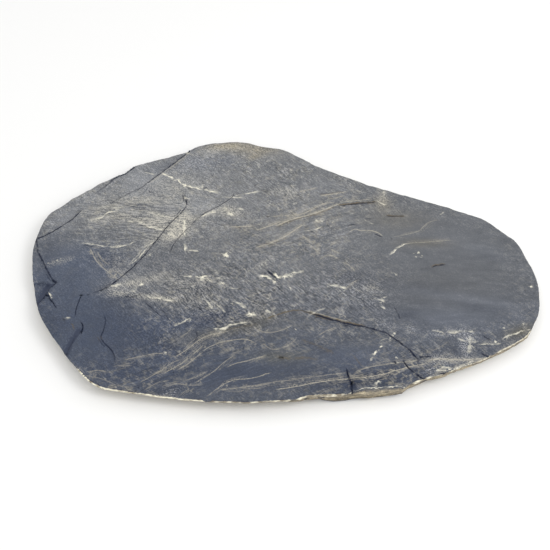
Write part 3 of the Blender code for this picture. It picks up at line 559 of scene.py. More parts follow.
def drawn_lines(kind):
    """The lines of one kind: strength, half width, points in metres in the plan, and fades."""
    rows = []
    # Each ledge gets a dark line of painted shadow beside its break, drawn with the cracks.
    if kind == "crack":
        for ledge in (read_ledge(*row) for row in LEDGES):
            line = moved_aside(spaced(ledge.line, LINE_STEP), -ledge.back)
            line = moved_aside(line, LEDGE_CHATTER * wave(line, 0.010, 2.2))
            rows.append((ledge.dark, ledge.half, line, ledge.fades))
    wander, _, stray, strays = LINE_LOOKS[kind]
    for number, (shows, half, *points) in enumerate(LINES[kind]):
        half = np.array(half) / 1000.0
        line = spaced(curved(points), LINE_STEP)
        for share, size, seed in ((1.0, 0.018, 3.7), (0.7, 0.007, 5.1)):
            bends = wave(line, size, seed * number + len(kind))
            line = moved_aside(line, share * wander * bends)
        fade = 0.0 if kind == "hollow" else min(LINE_FADE, 0.0008 * len(line))
        rows.append((shows, half, line, (fade, fade)))
        # Weaker threads run beside a line for part of its length.
        chance = np.random.default_rng(100 * len(kind) + number)
        for side in (-1.0, 1.0)[:strays]:
            first, last = np.sort(chance.uniform(0.0, 1.0, 2))
            part = line[int(first * len(line)):int(last * len(line)) + 1]
            if len(part) < THREAD_SHORTEST:
                continue
            away = side * stray * (1.0 + 0.7 * wave(part, 0.04, 2.9 * number + side))
            part = moved_aside(part, away)
            rows.append((THREAD_SHOWS * shows, THREAD_WIDTH * half, part, (LINE_FADE,) * 2))
    return rows


def in_sight(points, line):
    """The numbers of the points that lie near enough to a line to see it."""
    low = line.min(axis=0) - LINE_SIGHT
    high = line.max(axis=0) + LINE_SIGHT
    return np.flatnonzero(((points > low) & (points < high)).all(axis=1))


def line_fields(points, rows, swell=0.0):
    """How far each point is across its nearest line, in half widths, and how much that shows."""
    across = np.full(len(points), LINE_FAR)
    shown = np.zeros(len(points))
    best = np.full(len(points), LINE_SIGHT)
    for number, (shows, half, line, fades) in enumerate(rows):
        close = in_sight(points, line)
        if not len(close):
            continue
        signed, where, length = nearest(points[close], line)
        gap = np.abs(signed)
        half = np.interp(where / length, (0.0, 1.0), np.broadcast_to(half, 2))
        reach = 1.8 * half + 0.0018
        fade = faded(where, length, *fades)
        fade = fade * (1.0 - smoothstep((gap - 0.6 * reach) / (0.6 * reach)))
        uneven = wave(points[close], 0.013, 5.3 * number)
        patchy = np.clip(1.0 + 2.0 * swell * uneven, 0.20, 1.0)
        half = half * (1.0 + swell * wave(points[close], 0.010, 7.9 * number))
        closer = gap < best[close]
        picked = close[closer]
        best[picked] = gap[closer]
        across[picked] = np.clip((signed / half)[closer], -LINE_FAR, LINE_FAR)
        shown[picked] = (shows * fade * patchy)[closer]
    return across, shown


def turned_to(points, turn):
    """How far points lie along a direction, given in degrees from the X axis, and beside it."""
    cos, sin = math.cos(math.radians(turn)), math.sin(math.radians(turn))
    return points @ np.array((cos, sin)), points @ np.array((-sin, cos))


def patches(points, rows):
    """The combined strength of soft patches at each point."""
    total = np.zeros(len(points))
    for x, y, long_half, short_half, turn, strength in rows:
        along, beside = turned_to(points * 100.0 - np.array((x, y)), turn)
        total += strength * np.exp(-np.square(along / long_half) - np.square(beside / short_half))
    return np.clip(total, 0.0, 1.0)


def tagged_copy(source):
    """A joined-up copy of the solid whose faces know whether they are top, side or underside."""
    mesh = bmesh.new()
    mesh.from_mesh(source)
    bmesh.ops.remove_doubles(mesh, verts=mesh.verts, dist=1e-5)
    (start, start_run), (end, end_run) = SHELF_SPAN
    back, back_run = SHELF_STRIP
    for vertex in mesh.verts:
        x, y, z = vertex.co
        x, y = x - PLAN_ORIGIN[0], y - PLAN_ORIGIN[1]
        share = smoothstep((x - start) / start_run) * smoothstep((end - x) / end_run)
        share *= smoothstep((back - y) / back_run) * smoothstep(z / SHELF_FULL)
        vertex.co.y -= SHELF_OUT * share
    mesh.normal_update()
    middles = np.array([face.calc_center_median()[:] for face in mesh.faces])
    heights = face_height(middles[:, :2] - PLAN_ORIGIN)
    for face, middle, height in zip(mesh.faces, middles, heights):
        if face.normal.z > 0.1 and middle[2] > height - RIM_SIGHT:
            face.material_index = TOP
        elif max(vertex.co.z for vertex in face.verts) < UNDER_REACH:
            face.material_index = UNDER
        else:
            face.material_index = SIDE
    return mesh


def gap_to(points, rows):
    """The distance from each point to the nearest of these lines, as far as they can be seen."""
    best = np.full(len(points), LINE_SIGHT)
    for _, _, line, _ in rows:
        close = in_sight(points, line)
        if len(close):
            best[close] = np.minimum(best[close], np.abs(nearest(points[close], line)[0]))
    return best


def longest_edge(middles, sorts, fine, finest):
    """The longest edge wanted at each place."""
    flat = middles[:, :2] - PLAN_ORIGIN
    # A slow change of length across the face keeps the triangles from lining up.
    top = FACE_EDGE * (1.0 + 0.15 * np.sin(90.0 * flat[:, 0]))
    top = np.where(gap_to(flat, fine) < LINE_BAND, LINE_EDGE, top)
    top = np.where(gap_to(flat, finest) < CRACK_BAND, CRACK_EDGE, top)
    return np.select([sorts == SIDE, sorts == UNDER], [SIDE_EDGE, UNDER_EDGE], top)


def refine(mesh, fine, finest):
    """Splits edges until the mesh can carry the lines, the relief and the layers of the edge."""
    for _ in range(REFINE_ROUNDS):
        mesh.verts.index_update()
        points = np.array([vertex.co[:] for vertex in mesh.verts])
        ends = np.array([[vertex.index for vertex in edge.verts] for edge in mesh.edges])
        sorts = np.array([
            max(face.material_index for face in edge.link_faces) for edge in mesh.edges
        ])
        span = points[ends[:, 1]] - points[ends[:, 0]]
        span[:, 2] *= np.where(sorts == SIDE, SIDE_UPRIGHT, 1.0)
        length = np.linalg.norm(span, axis=1)
        middles = points[ends].mean(axis=1)
        long = length > EDGE_SLACK * longest_edge(middles, sorts, fine, finest)
        if not long.any():
            break
        edges = list(mesh.edges)
        bmesh.ops.subdivide_edges(
            mesh, edges=[edges[k] for k in np.flatnonzero(long)], cuts=1
        )
        wide = [face for face in mesh.faces if len(face.verts) > 3]
        bmesh.ops.triangulate(mesh, faces=wide, quad_method="SHORT_EDGE")


def nearest_rim(points, rim):
    """The distance in plan from each point to the rim, and the rim's nearest vertex."""
    tree = KDTree(len(rim))
    for number, point in enumerate(rim):
        tree.insert((point[0], point[1], 0.0), number)
    tree.balance()
    found = [tree.find((point[0], point[1], 0.0)) for point in points]
    return np.array([hit[2] for hit in found]), np.array([hit[1] for hit in found])


def grooves(flat, rows, depth, wall):
    """How deep the lines cut into the face; the wall is as a share of their half width."""
    across, shown = line_fields(flat, rows)
    return depth * np.clip(shown, 0.0, 1.0) * smoothstep((1.2 - np.abs(across)) / wall)


def grain_relief(flat, areas):
    """The low ridges of the splitting face, which run along its grain."""
    relief = 0.00030 * wave(flat, 0.055, 12.0) + 0.00020 * wave(flat, 0.022, 14.0)
    for name, (turn, length, width, _) in GRAINS.items():
        along, beside = turned_to(flat, turn)
        stretched = np.column_stack([along / length, beside / width]) * 2.2
        relief += 0.00045 * areas[name] * wave(stretched, 2.6, turn)
    return relief


def chips(rim):
    """How far the upper edge is broken down at each rim vertex."""
    broken = np.maximum(wave(rim, 0.028, 31.0), 0.0) + 0.6 * np.maximum(wave(rim, 0.011, 33.0), 0.0)
    return CHIP_DEPTH * smoothstep(broken / 0.75)


def layered(points):
    """How far the edge stands out at each of its points, layer by layer."""
    layer = np.floor(points[:, 2] / LAYER_THICKNESS + 0.9 * wave(points[:, :2], 0.11, 41.0))
    out = np.array([
        noise.noise(Vector((x / 0.042, y / 0.042, 7.13 * k)))
        + 0.4 * noise.noise(Vector((x / 0.009, y / 0.009, z / 0.004)))
        for (x, y, z), k in zip(points, layer)
    ])
    return LAYER_OUT * out


def painted_sheen_and_shade(flat):
    """How much paler the face is painted, most at the back and left, as a painted sheen, and
    how much cooler in front, as painted shade.
    """
    x, y = flat.T
    paler = 0.85 * smoothstep((y + 0.26) / 0.54) * (1.0 - 0.55 * smoothstep((x - 0.02) / 0.36))
    return paler, 0.45 * smoothstep((-0.06 - y) / 0.22)


def crushed_lip(flat):
    """How strongly the front lip is crushed, and half the width of the crushed strip."""
    shown, half = np.zeros(len(flat)), np.full(len(flat), 1e-6)
    for start, end, strength, width in LIP_STRETCHES:
        here = smoothstep((flat[:, 0] - start) / LIP_END) * smoothstep((end - flat[:, 0]) / LIP_END)
        shown += strength * here
        half += width * here
    return shown * smoothstep((-flat[:, 1] - 0.12) / 0.10), half


def shaped(mesh, sizes):
    """Puts every vertex where the stone's surface is, and returns what the finish needs."""
    mesh.verts.index_update()
    points = np.array([vertex.co[:] for vertex in mesh.verts])
    sorts = [{face.material_index for face in vertex.link_faces} for vertex in mesh.verts]
    top, side, under = (np.array([kind in found for found in sorts]) for kind in (TOP, SIDE, UNDER))
    rim, below = top & side, side & ~top
    flat = points[:, :2] - PLAN_ORIGIN

    areas = {name: patches(flat, rows) for name, rows in GRAIN_AREAS.items()}
    tones = {name: patches(flat, rows) for name, rows in TONES.items()}
    # The painted sheen goes into the warm tint and the painted shade into the cool tint.
    paler, cooler = painted_sheen_and_shade(flat)
    tones["warm"] = np.clip(tones["warm"] + paler, 0.0, 1.2)
    tones["cool"] = np.clip(tones["cool"] + cooler, 0.0, 1.0)

    near, which = nearest_rim(points, points[rim])
    height = np.full(len(points), THICKNESS)
    height[top] = face_height(flat[top])
    old_rim = points[rim, 2]
    broken = chips(flat[rim])
    rise = height[rim] - old_rim
    drop = old_rim[which] - points[:, 2]

    # The face: its height, its grain, and what cuts into it.
    new = points.copy()
    new[top, 2] = height[top]
    new[top, 2] += sizes.relief * grain_relief(
        flat[top], {name: area[top] for name, area in areas.items()}
    )
    new[top, 2] -= grooves(flat[top], drawn_lines("crack"), sizes.crack_depth, 1.0)
    new[top, 2] -= grooves(flat[top], drawn_lines("hollow"), HOLLOW_DEPTH, 0.35)
    new[top, 2] -= (broken[which] * smoothstep(1.0 - near / CHIP_REACH))[top]

    # The edge follows the rim up and down near it, and its beds stand in and out.
    follows = smoothstep(1.0 - drop / 0.010)
    new[below, 2] += (follows * (rise[which] - 0.7 * broken[which]))[below]
    new[below, 2] = np.maximum(new[below, 2], 0.0)
    outward = flat / np.array((0.36, 0.18))
    outward /= np.linalg.norm(outward, axis=1)[:, None]
    edge = side & ~under
    out = np.zeros(len(points))
    hold = smoothstep(points[edge, 2] / 0.004)
    out[edge] = sizes.edge_roughness * layered(points[edge]) * hold
    out[rim] *= 0.6
    new[:, :2] += outward * out[:, None]

    bare_under = under & ~side
    new[bare_under, 2] += 0.0005 * np.maximum(wave(flat[bare_under], 0.06, 51.0), 0.0)

    low, where, length = nearest(flat, read_ledge(*SHELF[0]).line)
    shelf = smoothstep(-low / SHELF_LIP) * (low > -0.04)
    shelf = shelf * smoothstep(where / SHELF_END) * smoothstep((length - where) / SHELF_END)
    shown, half = crushed_lip(flat)
    near = np.where(below, LIP_DROP * np.maximum(drop, 0.0), near)
    fields = {"side": np.maximum(below.astype(float), shelf), **areas, **tones}
    fields["lip_across"] = np.minimum(near / half, LINE_FAR)
    fields["lip_shown"] = shown
    for kind in LINES:
        across, shown = line_fields(flat, drawn_lines(kind), LINE_LOOKS[kind][1])
        fields[kind + "_across"] = np.where(top, across, LINE_FAR)
        fields[kind + "_shown"] = np.where(top, shown, 0.0)
    return new, fields


def stone_mesh(source, sizes):
    """The finished stone's mesh, with one attribute for each field of its finish."""
    mesh = tagged_copy(source)
    others = [row for kind in LINES if kind != "crack" for row in drawn_lines(kind)]
    refine(mesh, others, drawn_lines("crack"))
    new, fields = shaped(mesh, sizes)
    for vertex, point in zip(mesh.verts, new):
        vertex.co = point
    for face in mesh.faces:
        face.material_index = 0
        face.smooth = True
    mesh.normal_update()
    data = bpy.data.meshes.new("slate_stone")
    mesh.to_mesh(data)
    mesh.free()
    for name, values in fields.items():
        layer = data.attributes.new(name, "FLOAT", "POINT")
        layer.data.foreach_set("value", values.astype(np.float32))
    data.set_sharp_from_angle(angle=math.radians(SHARP_ANGLE))
    return data


# Sizes of the patterns. Slate's own grains are finer than the finest here, which is drawn as
# coarse as it has to be to show.
SLOW_SIZE = 0.075
WARP = (0.022, 0.022, 0.006)
BLOTCH_SIZE = 0.045
MOTTLE_SIZE = 0.014
LUMP_SIZE = 0.0050
SPECK_SIZE = 0.0029
CRUMB_SIZE = (0.0165, 0.0085, 0.0085)
BED_SIZE = (0.034, 0.034, 0.0032)
SKIN_SIZE = (0.085, 0.050, 0.050)
SKIN_TURN = 18.0
SKIN_STEPS = 16.0

# What the tone of the face is made of, and how far it calms down where the face split cleanly.
TONE_SHIFT = -0.094
TONE_SHARES = {"grain": 0.74, "blotch": 0.22, "mottle": 0.07, "speck": 0.28}
CALM_SHARE = 0.36
CALM_TONE = 0.575
TONE_STOPS = ((0.36, "slate_dark"), (0.59, "slate"), (0.86, "slate_light"))
EDGE_STOPS = ((0.38, "edge_dark"), (0.52, "edge_tan"), (0.64, "edge_pale"))
TINTS = ("warm", "cool", "light", "ochre", "deep")

# Threads of the bedding: the grain they go with, turn in degrees, length, width, how thin they
# are as a share of that, how much they show, how far they stand out, and colour.
THREADS = (
    ("hatch", -51.0, 0.075, 0.0120, 0.040, 0.40, 0.0002, "fleck"),
    ("hatch", -40.0, 0.060, 0.0130, 0.034, 0.38, 0.0002, "film"),
    ("hatch", -46.0, 0.060, 0.0110, 0.044, 0.65, -0.0003, "slate_dark"),
    ("hatch", 34.0, 0.030, 0.0085, 0.050, 0.34, 0.0002, "film"),
    ("hatch", -58.0, 0.030, 0.0075, 0.060, 0.50, -0.0003, "slate_dark"),
    ("rising", 24.0, 0.240, 0.0210, 0.034, 0.55, 0.0002, "fold"),
    ("rising", -30.0, 0.036, 0.0085, 0.060, 0.50, 0.0002, "fold"),
    ("rising", -44.0, 0.034, 0.0080, 0.060, 0.55, -0.0003, "slate_dark"),
    ("rising", 16.0, 0.200, 0.0170, 0.036, 0.50, -0.0003, "slate_dark"),
    ("wispy", -8.0, 0.070, 0.0100, 0.046, 0.46, 0.0002, "film"),
    ("wispy", 14.0, 0.060, 0.0095, 0.050, 0.36, -0.0003, "slate_dark"),
)

# How the lines are laid on, from the lowest up: how ragged they are, where their full colour ends
# and where the last of it does, all in half widths, strength, colour and what breaks them up.
LINE_FINISH = (
    # The first lip row paints shadow, in the crack colour, beyond the crumb and down the edge.
    ("lip", 0.7, 1.5, 2.2, 0.85, "crack", "gaps"),
    ("lip", 0.7, 0.7, 1.15, 1.00, "crumb", None),
    ("stain", 1.8, 0.4, 1.9, 0.75, "rust", None),
    ("fold", 0.6, 0.5, 1.6, 0.85, "fold", "grit"),
    ("vein", 2.6, 0.8, 1.7, 1.00, "quartz", "clots"),
    ("hollow", 0.4, 0.9, 1.15, 1.00, "hollow", None),
    # This row also lays the ledges' painted shadow lines, and in cracks it is partly painted shade.
    ("crack", 0.9, 0.7, 1.6, 0.93, "crack", None),
)


def add_node(tree, kind, inputs, out=0, stops=(), **settings):
    """Adds a node with its settings, links and values, by name or in order, for one output."""
    made = tree.nodes.new("ShaderNode" + kind)
    for name, value in settings.items():
        setattr(made, name, value)
    for key, value in inputs.items() if isinstance(inputs, dict) else enumerate(inputs):
        if isinstance(value, bpy.types.NodeSocket):
            tree.links.new(value, made.inputs[key])
        else:
            made.inputs[key].default_value = value
    if stops:
        elements = made.color_ramp.elements
        for element, (position, colour) in zip(elements, (stops[0], stops[-1])):
            element.position, element.color = position, colour
        for position, colour in stops[1:-1]:
            elements.new(position).color = colour
    return made.outputs[out] if made.outputs else None


def drawn_out(node, vector, size, turn=0.0, shift=(0.0, 0.0, 0.0), detail=2.0, roughness=0.5):
    """Noise whose grain has this size along X, Y and Z, with X turned this far in degrees."""
    laid = node(
        "Mapping", {"Vector": vector, "Rotation": (0.0, 0.0, math.radians(turn)), "Scale": size,
                    "Location": shift}, vector_type="TEXTURE",
    )
    return node(
        "TexNoise", {"Vector": laid, "Scale": 1.0, "Detail": detail, "Roughness": roughness}
    )


def patterns(node):
    """The fields of the mesh and the noises that the whole finish is made from."""
    place = node("TexCoord", (), "Object")
    # A slow warp, so that no pattern runs quite straight.
    slow = node("TexNoise", {"Vector": place, "Scale": 1.0 / SLOW_SIZE, "Detail": 2.0})
    centred = node("VectorMath", (slow.node.outputs["Color"], (-0.5, -0.5, -0.5)))
    warped = node("VectorMath", (centred, WARP, place), operation="MULTIPLY_ADD")
    ends = [kind + end for kind in (*LINES, "lip") for end in ("_across", "_shown")]
    fields = {
        name: node("Attribute", (), "Fac", attribute_name=name)
        for name in ("side", *TONES, *GRAIN_AREAS, *ends)
    }
    # Clearings: the grain is faint in places, besides where the face split cleanly.
    clearing = node("MapRange", (slow, 0.47, 0.60, 0.0, 0.55))
    calm = node("Math", (fields["calm"], clearing), operation="MAXIMUM")
    blotch, mottle, speck, lumps = (
        node("TexNoise", {"Vector": vector, "Scale": 1.0 / size, "Detail": detail,
                          "Roughness": roughness})
        for vector, size, detail, roughness in (
            (warped, BLOTCH_SIZE, 3.0, 0.55), (warped, MOTTLE_SIZE, 3.0, 0.6),
            (place, SPECK_SIZE, 2.0, 0.5), (place, LUMP_SIZE, 3.0, 0.5),
        )
    )
    # The grain of the splitting face, streak by streak, each in its own part of the face.
    grain = speck
    for name, (turn, length, width, weight) in GRAINS.items():
        streak = drawn_out(
            node, warped, (length, width, width), turn, detail=3.0, roughness=0.6
        )
        share = node("Math", (fields[name], weight), operation="MULTIPLY")
        grain = node("Mix", {0: share, 2: grain, 3: streak})
    crumbs = drawn_out(node, place, CRUMB_SIZE, detail=4.0)
    return SimpleNamespace(
        place=place, warped=warped, fields=fields, calm=calm, blotch=blotch, mottle=mottle,
        speck=speck, lumps=lumps, grain=grain, crumbs=crumbs,
    )


def face_colour(node, look, tints):
    """Grey slate, tinted by area as weathered and with painted sheen and shade, with mineral
    film in wisps and small pale flecks.
    """
    tone = TONE_SHIFT
    for name, share in TONE_SHARES.items():
        tone = node("Math", (getattr(look, name), share, tone), operation="MULTIPLY_ADD")
    calmed = node(
        "Math", (tone, CALM_SHARE, (1.0 - CALM_SHARE) * CALM_TONE), operation="MULTIPLY_ADD"
    )
    tone = node("Mix", {0: look.calm, 2: tone, 3: calmed})
    colour = node("ValToRGB", (tone,), stops=[(at, tints[name]) for at, name in TONE_STOPS])
    # By area: warmer and paler, partly weathered and partly painted sheen; cooler, partly painted
    # shade; lighter; stained with iron; or darker, partly painted shade in grooves and pits.
    uneven = node("MapRange", (look.mottle, 0.30, 0.70, 0.75, 1.1))
    for name in TINTS:
        share = node("Math", (look.fields[name], uneven), operation="MULTIPLY")
        twice = (*(2.0 * part for part in tints[name][:3]), 1.0)
        tinted = node(
            "Mix", {0: 1.0, 6: colour, 7: twice}, 2, data_type="RGBA", blend_type="MULTIPLY"
        )
        colour = node("Mix", {0: share, 6: colour, 7: tinted}, 2, data_type="RGBA")
    crust = node("Mix", {0: 0.35, 2: look.grain, 3: look.speck})
    for name, tint, reach in (
        ("fleck", "fleck", (0.48, 0.60, 0.0, 0.80)), ("pale", "film", (0.44, 0.57, 0.08, 1.0)),
    ):
        mask = node("MapRange", (crust, *reach), interpolation_type="SMOOTHSTEP")
        share = node("Math", (look.fields[name], mask), operation="MULTIPLY")
        colour = node("Mix", {0: share, 6: colour, 7: tints[tint]}, 2, data_type="RGBA")
    return colour


def bedding_threads(node, look, tints, colour):
    """Thin light and dark threads, which follow the grain and break off, and their relief."""
    broken = node("MapRange", (look.mottle, 0.44, 0.58))
    quiet = node("MapRange", (look.calm, 0.0, 0.85, 1.0, 0.03))
    broken = node("Math", (broken, quiet), operation="MULTIPLY")
    relief = 0.0
    for name, turn, length, width, thin, amount, rise, tint in THREADS:
        shift = (0.3 * length, 0.1 * turn, 0.0)
        field = drawn_out(node, look.warped, (length, width, width), turn, shift)
        level = node("Math", (field, 0.5), operation="SUBTRACT")
        level = node("Math", (level,), operation="ABSOLUTE")
        thread = node(
            "MapRange", (level, 0.3 * thin, thin, amount, 0.0), interpolation_type="SMOOTHSTEP"
        )
        for share in (broken, look.fields[name]):
            thread = node("Math", (thread, share), operation="MULTIPLY")
        relief = node("Math", (thread, rise, relief), operation="MULTIPLY_ADD")
        colour = node("Mix", {0: thread, 6: colour, 7: tints[tint]}, 2, data_type="RGBA")
    return colour, relief


def broken_edge(node, look, tints, colour):
    """Thin beds one on another, rusty and dusty, each a few millimetres thick."""
    bed = drawn_out(node, look.warped, BED_SIZE, detail=4.0, roughness=0.65)
    bed = node("Mix", {0: 0.25, 2: bed, 3: look.speck})
    beds = node("ValToRGB", (bed,), stops=[(at, tints[name]) for at, name in EDGE_STOPS])
    return node("Mix", {0: look.fields["side"], 6: colour, 7: beds}, 2, data_type="RGBA")


def face_lines(node, look, tints, colour):
    """The crushed lip with its painted shadow, rust, folded bedding, quartz, hollows and cracks,
    with uneven edges.
    """
    # The lip is crushed to a pale crumb, in places only to tan, with a painted shadow in dark gaps
    # behind it.
    pale = node("MapRange", (look.crumbs, 0.40, 0.57))
    tints["crumb"] = node(
        "Mix", {0: pale, 6: tints["edge_tan"], 7: tints["dust"]}, 2, data_type="RGBA"
    )
    breaks = {
        "gaps": node("MapRange", (look.crumbs, 0.40, 0.48, 1.0, 0.0)),
        "clots": node("MapRange", (look.crumbs, 0.38, 0.54, 0.40, 1.0)),
        "grit": node("MapRange", (look.speck, 0.34, 0.52, 0.55, 1.0)),
    }
    wander = node("MapRange", (look.lumps, 0.0, 1.0, -1.0, 1.0))
    masks = {}
    for kind, ragged, core, rim, strength, tint, breaker in LINE_FINISH:
        across, shown = look.fields[kind + "_across"], look.fields[kind + "_shown"]
        apart = node("Math", (wander, ragged, across), operation="MULTIPLY_ADD")
        apart = node("Math", (apart,), operation="ABSOLUTE")
        inside = node(
            "MapRange", (apart, core, rim, strength, 0.0), interpolation_type="SMOOTHSTEP"
        )
        if breaker:
            shown = node("Math", (shown, breaks[breaker]), operation="MULTIPLY")
        masks[kind] = node("Math", (inside, shown), operation="MULTIPLY")
        colour = node("Mix", {0: masks[kind], 6: colour, 7: tints[tint]}, 2, data_type="RGBA")
    return colour, masks


def surface_bump(node, look, relief, masks):
    """Grain, specks, thin lifted skins of slate, proud veins and sunk cracks, in metres."""
    skin = drawn_out(node, look.warped, SKIN_SIZE, SKIN_TURN, detail=2.5)
    skin = node("Math", (skin, SKIN_STEPS), operation="MULTIPLY")
    whole = node("Math", (skin,), operation="FLOOR")
    part = node("Math", (skin,), operation="FRACT")
    rise = node("MapRange", (part, 0.86, 1.0), interpolation_type="SMOOTHSTEP")
    skins = node("Math", (whole, rise))
    height = relief
    for value, depth in (
        (look.grain, 0.0007), (look.speck, 0.0001), (look.mottle, 0.0010), (skins, 0.00025),
    ):
        height = node("Math", (value, depth, height), operation="MULTIPLY_ADD")
    smooth = node("MapRange", (look.calm, 0.0, 1.0, 1.0, 0.30))
    height = node("Math", (height, smooth), operation="MULTIPLY")
    for kind, depth in (("vein", 0.0004), ("fold", 0.0002), ("crack", -0.0010)):
        height = node("Math", (masks[kind], depth, height), operation="MULTIPLY_ADD")
    return node("Bump", {"Strength": 1.0, "Distance": 1.0, "Height": height})


def riven_slate(colours):
    """Split slate: cleaved along its bedding, so the face is dull, with a fine streaked grain."""
    material = bpy.data.materials.new("riven slate")
    material.use_nodes = True
    material.node_tree.nodes.clear()
    node = functools.partial(add_node, material.node_tree)
    tints = {name: (*getattr(colours, name), 1.0) for name in colours.__annotations__}
    look = patterns(node)
    colour = face_colour(node, look, tints)
    colour, relief = bedding_threads(node, look, tints, colour)
    colour = broken_edge(node, look, tints, colour)
    colour, masks = face_lines(node, look, tints, colour)
    rough = node("MapRange", (look.mottle, 0.3, 0.7, 0.52, 0.68))
    rough = node("Math", (masks["vein"], 0.12, rough), operation="MULTIPLY_ADD")
    # Dust dulls the face, and the cracks and the deep patches, which are darker bands and painted
    # shade of grooves and pits, hold enough of it to shine hardly at all.
    sheen = node("MapRange", (look.fields["deep"], 0.0, 1.0, 0.25, 0.10))
    sheen = node(
        "Math", (masks["crack"], -0.20, sheen), operation="MULTIPLY_ADD", use_clamp=True
    )
    shader = node(
        "BsdfPrincipled",
        {"Base Color": colour, "Roughness": rough, "IOR": 1.5, "Specular IOR Level": sheen,
         "Metallic": 0.0, "Normal": surface_bump(node, look, relief, masks)},
    )
    node("OutputMaterial", {"Surface": shader})
    return material


def plain(name, code, roughness):
    """A plain matt board for the stage."""
    material = bpy.data.materials.new(name)
    material.use_nodes = True
    shader = material.node_tree.nodes["Principled BSDF"]
    shader.inputs["Base Color"].default_value = (*linear(code), 1.0)
    shader.inputs["Roughness"].default_value = roughness
    return material


def tint(name, code, description):
    """A colour that the panel can change."""
    return bpy.props.FloatVectorProperty(
        name=name, description=description, default=linear(code), min=0.0, max=1.0,
        subtype="COLOR",
    )


class SlateSizes(bpy.types.PropertyGroup):
    crack_depth: bpy.props.FloatProperty(
        name="Crack Depth", description="How deep the cracks cut into the face",
        default=0.0024, min=0.0, max=0.006, unit="LENGTH",
    )
    relief: bpy.props.FloatProperty(
        name="Face Relief", description="Strength of the low ridges of the splitting face",
        default=1.0, min=0.0, max=2.0, subtype="FACTOR",
    )
    edge_roughness: bpy.props.FloatProperty(
        name="Edge Roughness", description="How far the layers of the broken edge stand in and out",
        default=1.0, min=0.0, max=2.0, subtype="FACTOR",
    )


class SlateColours(bpy.types.PropertyGroup):
    slate_dark: tint("Dark Slate", "#30343b", "Darkest grain of the splitting face")
    slate: tint("Slate", "#595c62", "Main grey of the splitting face")
    slate_light: tint("Light Slate", "#97989c", "Palest grain of the splitting face")
    # Also paints sheen on the back of the face and sunlit tone on the upper left.
    warm: tint("Warm Weathering", "#f6f2e8", "Tint of the weathered upper left")
    # Also paints shade on the front and lower left of the face.
    cool: tint("Cool Slate", "#95a0b5", "Tint of the fresher lower left")
    light: tint("Light Bands", "#e2e3e6", "Tint of the lighter bands of the face")
    # Partly darker bands of slate, partly painted shade in grooves and pits.
    deep: tint("Deep Bands", "#757c8c", "Tint of the darker bands and hollows")
    ochre: tint("Ochre Bloom", "#e0c890", "Tint where iron has bled into the face")
    fleck: tint("Flecks", "#b6b6b9", "Small pale flecks along the grain")
    film: tint("Mineral Film", "#cac5b7", "Pale film left in wisps")
    rust: tint("Rust", "#62553c", "Rusty lines")
    fold: tint("Folded Bedding", "#b9b2a1", "Thin lines of folded bedding")
    quartz: tint("Quartz", "#ebe6d3", "White veins")
    # Partly dirt, partly painted shade: in the cracks, along the ledges and below the lip.
    crack: tint("Cracks", "#20273a", "Dirt in the cracks")
    # Partly the darker slate where a layer came away, partly painted shade in the hollows.
    hollow: tint("Hollows", "#353c4e", "Dark blue slate in the hollows")
    edge_dark: tint("Dark Edge", "#504d47", "Darkest bed of the broken edge")
    edge_tan: tint("Tan Edge", "#8d8473", "Middle beds of the broken edge")
    edge_pale: tint("Pale Edge", "#c1b498", "Palest beds of the broken edge")
    dust: tint("Crushed Lip", "#ebe5cf", "Crushed stone along the front lip")


class SLATE_OT_stone(bpy.types.Operator):
    """Builds the slate slab"""

    bl_idname = "slate.stone"
    bl_label = "Slate Slab"

    def execute(self, context):
        node_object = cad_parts["slate_slab"]
        data = stone_mesh(node_object.data, context.scene.slate_sizes)
        data.materials.append(riven_slate(context.scene.slate_colours))
        stone = bpy.data.objects.new("slate_stone", data)
        context.scene.collection.objects.link(stone)
        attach(stone, "root")
        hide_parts("slate_slab")
        return {"FINISHED"}


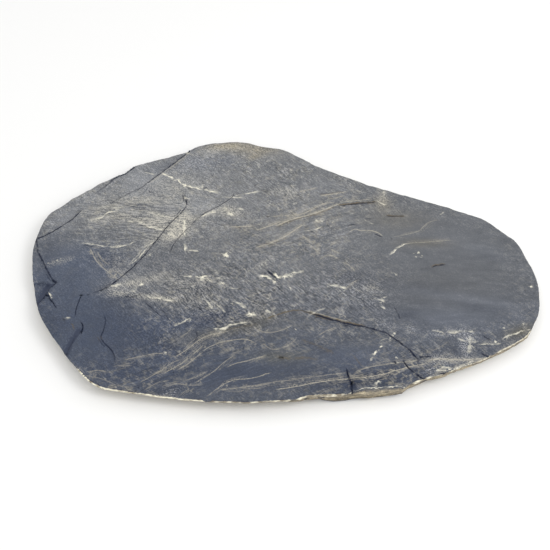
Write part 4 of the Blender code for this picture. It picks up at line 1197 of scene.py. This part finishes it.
class SLATE_OT_stage(bpy.types.Operator):
    """Builds the floor, the light and the camera"""

    bl_idname = "slate.stage"
    bl_label = "Studio Stage"

    def execute(self, context):
        scene = context.scene
        data = bpy.data.meshes.new("floor")
        half = FLOOR_SIZE / 2.0
        corners = [(-half, -half, 0.0), (half, -half, 0.0), (half, half, 0.0), (-half, half, 0.0)]
        data.from_pydata(corners, [], [(0, 1, 2, 3)])
        data.materials.append(plain("pale studio floor", "#f4f4f3", 0.9))
        floor = bpy.data.objects.new("floor", data)
        floor.location.z = -FLOOR_DROP
        scene.collection.objects.link(floor)

        lamp = bpy.data.lights.new("key lamp", "AREA")
        lamp.shape, lamp.size, lamp.energy = "DISK", LAMP_SIZE, LAMP_POWER
        held = bpy.data.objects.new("key lamp", lamp)
        held.location = LAMP_PLACE
        held.rotation_euler = (-Vector(LAMP_PLACE)).to_track_quat("-Z", "Y").to_euler()
        scene.collection.objects.link(held)

        world = bpy.data.worlds.new("soft white room")
        world.use_nodes = True
        background = world.node_tree.nodes["Background"]
        background.inputs["Color"].default_value = (*linear("#ffffff"), 1.0)
        background.inputs["Strength"].default_value = ROOM_STRENGTH
        scene.world = world
        scene.view_settings.view_transform = "Standard"

        tilt = math.radians(CAMERA_RISE)
        away = Vector((0.0, -math.cos(tilt), math.sin(tilt)))
        camera = bpy.data.objects.new("camera", bpy.data.cameras.new("camera"))
        camera.data.lens = CAMERA_LENS
        camera.data.sensor_width = 36.0
        camera.location = Vector(CAMERA_TARGET) + away * CAMERA_DISTANCE
        camera.rotation_euler = (-away).to_track_quat("-Z", "Y").to_euler()
        scene.collection.objects.link(camera)
        scene.camera = camera
        return {"FINISHED"}


class SLATE_PT_panel(bpy.types.Panel):
    """Lists the builders and what they can be set to"""

    bl_idname = "SLATE_PT_panel"
    bl_label = "Slate Slab"
    bl_space_type = "VIEW_3D"
    bl_region_type = "UI"
    bl_category = "Slate Slab"

    def draw(self, context):
        for operator in BUILDERS:
            self.layout.operator(operator.bl_idname)
        for group in (context.scene.slate_sizes, context.scene.slate_colours):
            for name in group.__annotations__:
                self.layout.prop(group, name)


BUILDERS = (SLATE_OT_stone, SLATE_OT_stage)
CLASSES = (SlateSizes, SlateColours, *BUILDERS, SLATE_PT_panel)


def register():
    for made in CLASSES:
        bpy.utils.register_class(made)
    bpy.types.Scene.slate_sizes = bpy.props.PointerProperty(type=SlateSizes)
    bpy.types.Scene.slate_colours = bpy.props.PointerProperty(type=SlateColours)


def unregister():
    del bpy.types.Scene.slate_colours
    del bpy.types.Scene.slate_sizes
    for made in reversed(CLASSES):
        bpy.utils.unregister_class(made)


def main():
    register()
    bpy.ops.slate.stone()
    bpy.ops.slate.stage()


if __name__ == "__main__":
    main()
